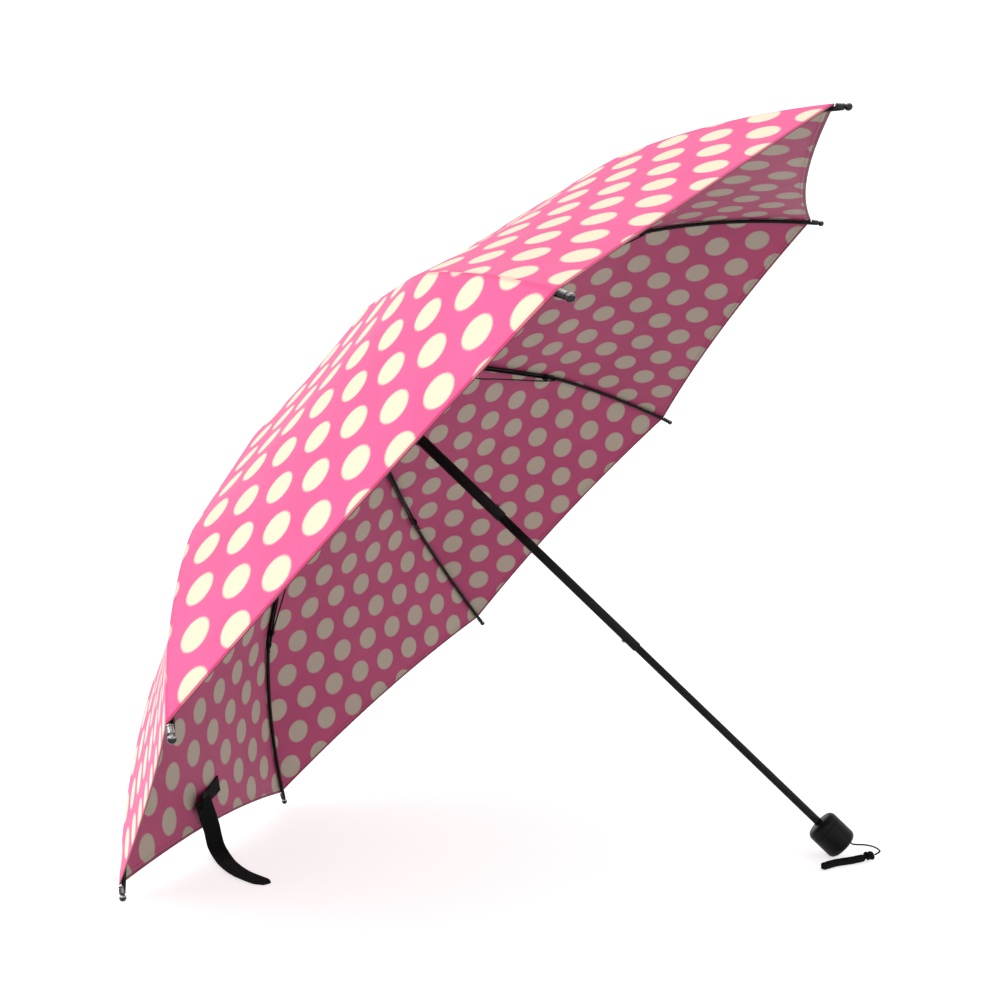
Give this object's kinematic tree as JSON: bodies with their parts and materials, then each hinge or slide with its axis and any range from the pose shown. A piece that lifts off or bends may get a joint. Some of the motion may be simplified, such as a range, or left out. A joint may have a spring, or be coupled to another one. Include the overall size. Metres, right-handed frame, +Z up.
{
  "type": "folding umbrella",
  "caption": "Open child's folding umbrella with a domed cloth canopy, jointed folding ribs, a telescopic shaft, a short knob handle, a wrist strap and a closing strap, lying on the floor.",
  "frame": {"origin": "on the floor, under the middle of the box around the umbrella without its wrist cord, with the umbrella resting on two rib tips and the rim of its handle", "axes": "+Z up, +X level along the floor from the resting rib tips towards the handle, +Y level and across, from the near side of the canopy to the far side"},
  "size_m": [0.6096, 0.8342, 0.59],
  "materials": {
    "cloth": "printed polyester taffeta, pink with cream dots",
    "black_plastic": "moulded, satin",
    "black_steel": "black lacquered steel, semi-gloss",
    "bright_metal": "bright plated",
    "webbing": "woven black polyester"
  },
  "bodies": {
    "shaft_head": {"upper_tube": "black_steel", "crown": "black_plastic", "crown_ring": "bright_metal", "crown_washer": "black_plastic", "top_cap": "black_plastic", "runner_catch": "bright_metal", "canopy": "cloth", "closing_strap": "webbing"},
    "runner": {"runner": "black_plastic"},
    "middle_tube": {"middle_tube": "black_steel", "upper_snap_button": "bright_metal"},
    "lower_tube": {"lower_tube": "black_steel", "lower_snap_button": "bright_metal", "handle": "black_plastic", "handle_plug": "black_plastic", "wrist_cord": "webbing", "cord_knot": "webbing", "wrist_strap": "webbing"},
    "top_rib_0": {"top_rib_0": "black_steel"},
    "stretcher_0": {"stretcher_0": "black_steel"},
    "middle_rib_0": {"middle_rib_0": "black_steel"},
    "outer_rib_0": {"outer_rib_0": "black_steel", "tip_cap_0": "bright_metal"},
    "top_rib_1": {"top_rib_1": "black_steel"},
    "stretcher_1": {"stretcher_1": "black_steel"},
    "middle_rib_1": {"middle_rib_1": "black_steel"},
    "outer_rib_1": {"outer_rib_1": "black_steel", "tip_cap_1": "bright_metal"},
    "top_rib_2": {"top_rib_2": "black_steel"},
    "stretcher_2": {"stretcher_2": "black_steel"},
    "middle_rib_2": {"middle_rib_2": "black_steel"},
    "outer_rib_2": {"outer_rib_2": "black_steel", "tip_cap_2": "bright_metal"},
    "top_rib_3": {"top_rib_3": "black_steel"},
    "stretcher_3": {"stretcher_3": "black_steel"},
    "middle_rib_3": {"middle_rib_3": "black_steel"},
    "outer_rib_3": {"outer_rib_3": "black_steel", "tip_cap_3": "bright_metal"},
    "top_rib_4": {"top_rib_4": "black_steel"},
    "stretcher_4": {"stretcher_4": "black_steel"},
    "middle_rib_4": {"middle_rib_4": "black_steel"},
    "outer_rib_4": {"outer_rib_4": "black_steel", "tip_cap_4": "bright_metal"},
    "top_rib_5": {"top_rib_5": "black_steel"},
    "stretcher_5": {"stretcher_5": "black_steel"},
    "middle_rib_5": {"middle_rib_5": "black_steel"},
    "outer_rib_5": {"outer_rib_5": "black_steel", "tip_cap_5": "bright_metal"},
    "top_rib_6": {"top_rib_6": "black_steel"},
    "stretcher_6": {"stretcher_6": "black_steel"},
    "middle_rib_6": {"middle_rib_6": "black_steel"},
    "outer_rib_6": {"outer_rib_6": "black_steel", "tip_cap_6": "bright_metal"},
    "top_rib_7": {"top_rib_7": "black_steel"},
    "stretcher_7": {"stretcher_7": "black_steel"},
    "middle_rib_7": {"middle_rib_7": "black_steel"},
    "outer_rib_7": {"outer_rib_7": "black_steel", "tip_cap_7": "bright_metal"}
  },
  "joints": [
    {"name": "runner_slide", "type": "slide", "parent": "shaft_head", "child": "runner", "axis": [0.7005, 0, -0.7136], "range_m": [0, 0.1184], "deforming": ["canopy", "closing_strap", "runner_catch"]},
    {"name": "middle_tube_slide", "type": "slide", "parent": "shaft_head", "child": "middle_tube", "axis": [-0.7005, 0, 0.7136], "range_m": [0, 0.156], "deforming": ["upper_snap_button"]},
    {"name": "lower_tube_slide", "type": "slide", "parent": "middle_tube", "child": "lower_tube", "axis": [-0.7005, 0, 0.7136], "range_m": [0, 0.188], "deforming": ["lower_snap_button"]},
    {"name": "top_rib_fold_0", "type": "hinge", "parent": "shaft_head", "child": "top_rib_0", "pos_m": [-0.13683, -0.00517, 0.45154], "axis": [0.2731, 0.9239, 0.2681], "range_deg": [0, 76.92]},
    {"name": "stretcher_fold_0", "type": "hinge", "parent": "top_rib_0", "child": "stretcher_0", "pos_m": [-0.07304, -0.03404, 0.48608], "axis": [-0.2731, -0.9239, -0.2681], "range_deg": [0, 151.02]},
    {"name": "middle_rib_fold_0", "type": "hinge", "parent": "top_rib_0", "child": "middle_rib_0", "pos_m": [-0.01091, -0.06514, 0.52998], "axis": [-0.2731, -0.9239, -0.2681], "range_deg": [0, 190.02]},
    {"name": "outer_rib_fold_0", "type": "hinge", "parent": "middle_rib_0", "child": "outer_rib_0", "pos_m": [0.12197, -0.1177, 0.57573], "axis": [0.2731, 0.9239, 0.2681], "range_deg": [0, 162.12]},
    {"name": "top_rib_fold_1", "type": "hinge", "parent": "shaft_head", "child": "top_rib_1", "pos_m": [-0.13683, 0.00517, 0.45154], "axis": [-0.2731, 0.9239, -0.2681], "range_deg": [0, 76.92]},
    {"name": "stretcher_fold_1", "type": "hinge", "parent": "top_rib_1", "child": "stretcher_1", "pos_m": [-0.07304, 0.03404, 0.48608], "axis": [0.2731, -0.9239, 0.2681], "range_deg": [0, 151.02]},
    {"name": "middle_rib_fold_1", "type": "hinge", "parent": "top_rib_1", "child": "middle_rib_1", "pos_m": [-0.01091, 0.06514, 0.52998], "axis": [0.2731, -0.9239, 0.2681], "range_deg": [0, 190.02]},
    {"name": "outer_rib_fold_1", "type": "hinge", "parent": "middle_rib_1", "child": "outer_rib_1", "pos_m": [0.12197, 0.1177, 0.57573], "axis": [-0.2731, 0.9239, -0.2681], "range_deg": [0, 162.12]},
    {"name": "top_rib_fold_2", "type": "hinge", "parent": "shaft_head", "child": "top_rib_2", "pos_m": [-0.14204, 0.01247, 0.44642], "axis": [-0.6593, 0.3827, -0.6472], "range_deg": [0, 76.92]},
    {"name": "stretcher_fold_2", "type": "hinge", "parent": "top_rib_2", "child": "stretcher_2", "pos_m": [-0.1074, 0.08219, 0.45236], "axis": [0.6593, -0.3827, 0.6472], "range_deg": [0, 151.02]},
    {"name": "middle_rib_fold_2", "type": "hinge", "parent": "top_rib_2", "child": "middle_rib_2", "pos_m": [-0.07666, 0.15727, 0.46544], "axis": [0.6593, -0.3827, 0.6472], "range_deg": [0, 190.02]},
    {"name": "outer_rib_fold_2", "type": "hinge", "parent": "middle_rib_2", "child": "outer_rib_2", "pos_m": [0.00318, 0.28416, 0.45913], "axis": [-0.6593, 0.3827, -0.6472], "range_deg": [0, 162.12]},
    {"name": "top_rib_fold_3", "type": "hinge", "parent": "shaft_head", "child": "top_rib_3", "pos_m": [-0.14941, 0.01247, 0.43919], "axis": [-0.6593, -0.3827, -0.6472], "range_deg": [0, 76.92]},
    {"name": "stretcher_fold_3", "type": "hinge", "parent": "top_rib_3", "child": "stretcher_3", "pos_m": [-0.15599, 0.08219, 0.40466], "axis": [0.6593, 0.3827, 0.6472], "range_deg": [0, 151.02]},
    {"name": "middle_rib_fold_3", "type": "hinge", "parent": "top_rib_3", "child": "middle_rib_3", "pos_m": [-0.16964, 0.15727, 0.37417], "axis": [0.6593, 0.3827, 0.6472], "range_deg": [0, 190.02]},
    {"name": "outer_rib_fold_3", "type": "hinge", "parent": "middle_rib_3", "child": "outer_rib_3", "pos_m": [-0.16481, 0.28416, 0.29423], "axis": [-0.6593, -0.3827, -0.6472], "range_deg": [0, 162.12]},
    {"name": "top_rib_fold_4", "type": "hinge", "parent": "shaft_head", "child": "top_rib_4", "pos_m": [-0.15463, 0.00517, 0.43407], "axis": [-0.2731, -0.9239, -0.2681], "range_deg": [0, 76.92]},
    {"name": "stretcher_fold_4", "type": "hinge", "parent": "top_rib_4", "child": "stretcher_4", "pos_m": [-0.19035, 0.03404, 0.37093], "axis": [0.2731, 0.9239, 0.2681], "range_deg": [0, 151.02]},
    {"name": "middle_rib_fold_4", "type": "hinge", "parent": "top_rib_4", "child": "middle_rib_4", "pos_m": [-0.23539, 0.06514, 0.30963], "axis": [0.2731, 0.9239, 0.2681], "range_deg": [0, 190.02]},
    {"name": "outer_rib_fold_4", "type": "hinge", "parent": "middle_rib_4", "child": "outer_rib_4", "pos_m": [-0.2836, 0.1177, 0.17762], "axis": [-0.2731, -0.9239, -0.2681], "range_deg": [0, 162.12]},
    {"name": "top_rib_fold_5", "type": "hinge", "parent": "shaft_head", "child": "top_rib_5", "pos_m": [-0.15463, -0.00517, 0.43407], "axis": [0.2731, -0.9239, 0.2681], "range_deg": [0, 76.92]},
    {"name": "stretcher_fold_5", "type": "hinge", "parent": "top_rib_5", "child": "stretcher_5", "pos_m": [-0.19035, -0.03404, 0.37093], "axis": [-0.2731, 0.9239, -0.2681], "range_deg": [0, 151.02]},
    {"name": "middle_rib_fold_5", "type": "hinge", "parent": "top_rib_5", "child": "middle_rib_5", "pos_m": [-0.23539, -0.06514, 0.30963], "axis": [-0.2731, 0.9239, -0.2681], "range_deg": [0, 190.02]},
    {"name": "outer_rib_fold_5", "type": "hinge", "parent": "middle_rib_5", "child": "outer_rib_5", "pos_m": [-0.2836, -0.1177, 0.17762], "axis": [0.2731, -0.9239, 0.2681], "range_deg": [0, 162.12]},
    {"name": "top_rib_fold_6", "type": "hinge", "parent": "shaft_head", "child": "top_rib_6", "pos_m": [-0.14941, -0.01247, 0.43919], "axis": [0.6593, -0.3827, 0.6472], "range_deg": [0, 76.92]},
    {"name": "stretcher_fold_6", "type": "hinge", "parent": "top_rib_6", "child": "stretcher_6", "pos_m": [-0.15599, -0.08219, 0.40466], "axis": [-0.6593, 0.3827, -0.6472], "range_deg": [0, 151.02]},
    {"name": "middle_rib_fold_6", "type": "hinge", "parent": "top_rib_6", "child": "middle_rib_6", "pos_m": [-0.16964, -0.15727, 0.37417], "axis": [-0.6593, 0.3827, -0.6472], "range_deg": [0, 190.02]},
    {"name": "outer_rib_fold_6", "type": "hinge", "parent": "middle_rib_6", "child": "outer_rib_6", "pos_m": [-0.16481, -0.28416, 0.29423], "axis": [0.6593, -0.3827, 0.6472], "range_deg": [0, 162.12]},
    {"name": "top_rib_fold_7", "type": "hinge", "parent": "shaft_head", "child": "top_rib_7", "pos_m": [-0.14204, -0.01247, 0.44642], "axis": [0.6593, 0.3827, 0.6472], "range_deg": [0, 76.92]},
    {"name": "stretcher_fold_7", "type": "hinge", "parent": "top_rib_7", "child": "stretcher_7", "pos_m": [-0.1074, -0.08219, 0.45236], "axis": [-0.6593, -0.3827, -0.6472], "range_deg": [0, 151.02]},
    {"name": "middle_rib_fold_7", "type": "hinge", "parent": "top_rib_7", "child": "middle_rib_7", "pos_m": [-0.07666, -0.15727, 0.46544], "axis": [-0.6593, -0.3827, -0.6472], "range_deg": [0, 190.02]},
    {"name": "outer_rib_fold_7", "type": "hinge", "parent": "middle_rib_7", "child": "outer_rib_7", "pos_m": [0.00318, -0.28416, 0.45913], "axis": [0.6593, 0.3827, 0.6472], "range_deg": [0, 162.12]}
  ],
  "couplings": [
    {"joint": "top_rib_fold_0", "follows": "runner_slide", "rad_per_m": 11.336},
    {"joint": "stretcher_fold_0", "follows": "runner_slide", "rad_per_m": 22.259},
    {"joint": "middle_rib_fold_0", "follows": "runner_slide", "rad_per_m": 28.008},
    {"joint": "outer_rib_fold_0", "follows": "runner_slide", "rad_per_m": 23.895},
    {"joint": "top_rib_fold_1", "follows": "runner_slide", "rad_per_m": 11.336},
    {"joint": "stretcher_fold_1", "follows": "runner_slide", "rad_per_m": 22.259},
    {"joint": "middle_rib_fold_1", "follows": "runner_slide", "rad_per_m": 28.008},
    {"joint": "outer_rib_fold_1", "follows": "runner_slide", "rad_per_m": 23.895},
    {"joint": "top_rib_fold_2", "follows": "runner_slide", "rad_per_m": 11.336},
    {"joint": "stretcher_fold_2", "follows": "runner_slide", "rad_per_m": 22.259},
    {"joint": "middle_rib_fold_2", "follows": "runner_slide", "rad_per_m": 28.008},
    {"joint": "outer_rib_fold_2", "follows": "runner_slide", "rad_per_m": 23.895},
    {"joint": "top_rib_fold_3", "follows": "runner_slide", "rad_per_m": 11.336},
    {"joint": "stretcher_fold_3", "follows": "runner_slide", "rad_per_m": 22.259},
    {"joint": "middle_rib_fold_3", "follows": "runner_slide", "rad_per_m": 28.008},
    {"joint": "outer_rib_fold_3", "follows": "runner_slide", "rad_per_m": 23.895},
    {"joint": "top_rib_fold_4", "follows": "runner_slide", "rad_per_m": 11.336},
    {"joint": "stretcher_fold_4", "follows": "runner_slide", "rad_per_m": 22.259},
    {"joint": "middle_rib_fold_4", "follows": "runner_slide", "rad_per_m": 28.008},
    {"joint": "outer_rib_fold_4", "follows": "runner_slide", "rad_per_m": 23.895},
    {"joint": "top_rib_fold_5", "follows": "runner_slide", "rad_per_m": 11.336},
    {"joint": "stretcher_fold_5", "follows": "runner_slide", "rad_per_m": 22.259},
    {"joint": "middle_rib_fold_5", "follows": "runner_slide", "rad_per_m": 28.008},
    {"joint": "outer_rib_fold_5", "follows": "runner_slide", "rad_per_m": 23.895},
    {"joint": "top_rib_fold_6", "follows": "runner_slide", "rad_per_m": 11.336},
    {"joint": "stretcher_fold_6", "follows": "runner_slide", "rad_per_m": 22.259},
    {"joint": "middle_rib_fold_6", "follows": "runner_slide", "rad_per_m": 28.008},
    {"joint": "outer_rib_fold_6", "follows": "runner_slide", "rad_per_m": 23.895},
    {"joint": "top_rib_fold_7", "follows": "runner_slide", "rad_per_m": 11.336},
    {"joint": "stretcher_fold_7", "follows": "runner_slide", "rad_per_m": 22.259},
    {"joint": "middle_rib_fold_7", "follows": "runner_slide", "rad_per_m": 28.008},
    {"joint": "outer_rib_fold_7", "follows": "runner_slide", "rad_per_m": 23.895}
  ]
}
